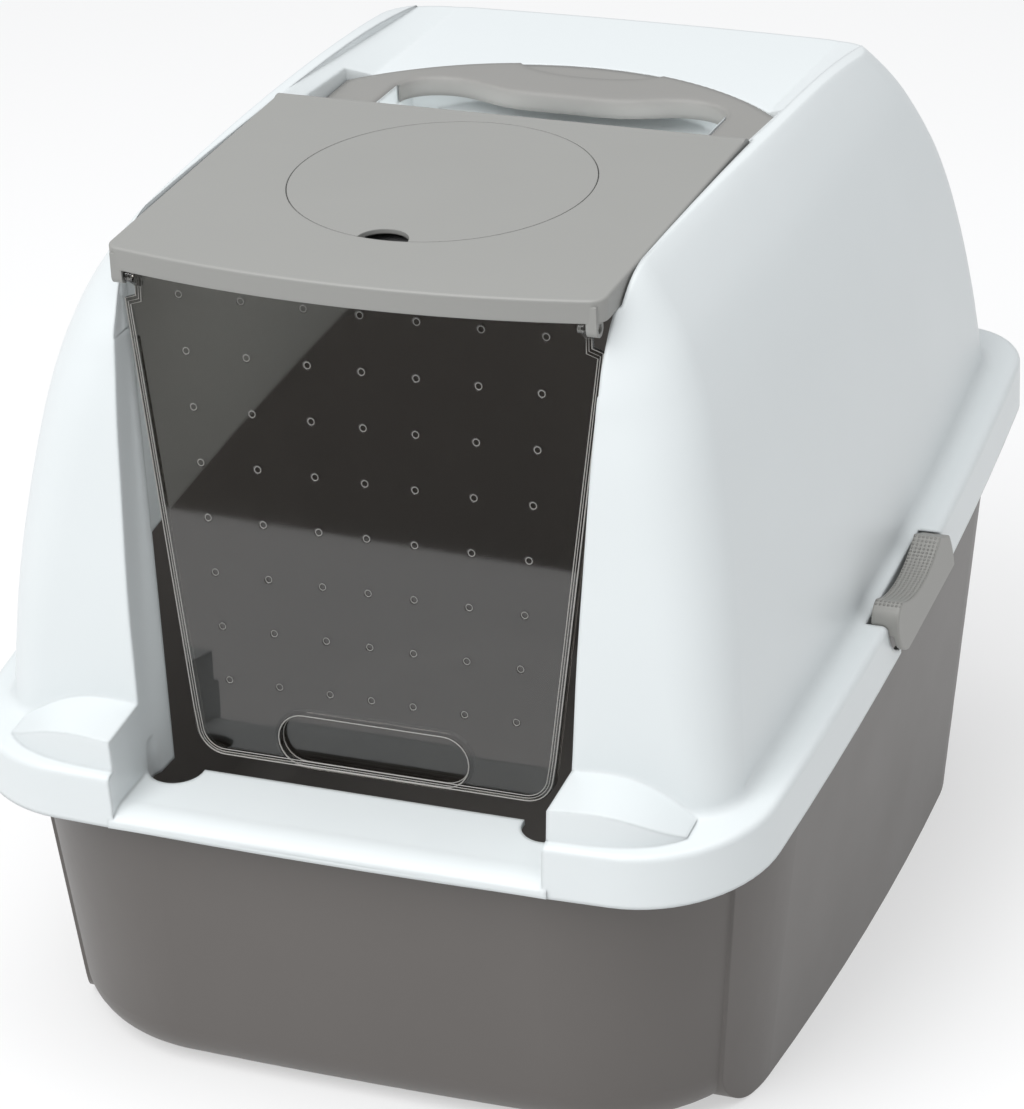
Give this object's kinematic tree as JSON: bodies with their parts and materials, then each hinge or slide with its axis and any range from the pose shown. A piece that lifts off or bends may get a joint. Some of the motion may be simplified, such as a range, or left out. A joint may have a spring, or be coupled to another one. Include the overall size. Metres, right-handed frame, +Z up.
{
  "type": "covered litter box",
  "caption": "Covered pet litter box: deep pan, clip-on hood, clear swinging door, lift-up lid with a filter under a round cover, arched carrying handle and side latches.",
  "frame": {"origin": "on the ground under the middle of the box", "axes": "+Z up, -Y out of the entry, +X to the right of someone who looks from the entry to the back"},
  "size_m": [0.476, 0.5685, 0.469],
  "materials": {
    "pan": "fine grained, dark warm grey",
    "hood": "polished white",
    "handle": "satin warm grey",
    "lid": "satin grey",
    "carbon": "black charcoal felt",
    "door": "clear, smoke tinted",
    "latch": "satin warm grey"
  },
  "bodies": {
    "box": {"pan": "pan", "hood": "hood", "handle": "handle"},
    "lid": {"lid": "lid", "carbon_filter": "carbon"},
    "filter_cover": {"filter_cover": "lid"},
    "door": {"door": "door"},
    "latch_right": {"latch_right": "latch"},
    "latch_left": {"latch_left": "latch"}
  },
  "joints": [
    {"name": "lid_hinge", "type": "hinge", "parent": "box", "child": "lid", "pos_m": [0, 0.011, 0.461], "axis": [-1, 0, 0], "range_deg": [0, 105]},
    {"name": "door_swing", "type": "hinge", "parent": "lid", "child": "door", "pos_m": [0, -0.2035, 0.448], "axis": [1, 0, 0], "range_deg": [-70, 60]},
    {"name": "filter_cover_lift", "type": "slide", "parent": "lid", "child": "filter_cover", "axis": [0, -0.0201, 0.9998], "range_m": [0, 0.03]},
    {"name": "latch_right_turn", "type": "hinge", "parent": "box", "child": "latch_right", "pos_m": [0.23, 0.0052, 0.22183], "axis": [0, -0.994, -0.1097], "range_deg": [0, 22]},
    {"name": "latch_left_turn", "type": "hinge", "parent": "box", "child": "latch_left", "pos_m": [-0.23, 0.0052, 0.22183], "axis": [0, 0.994, 0.1097], "range_deg": [0, 22]}
  ]
}
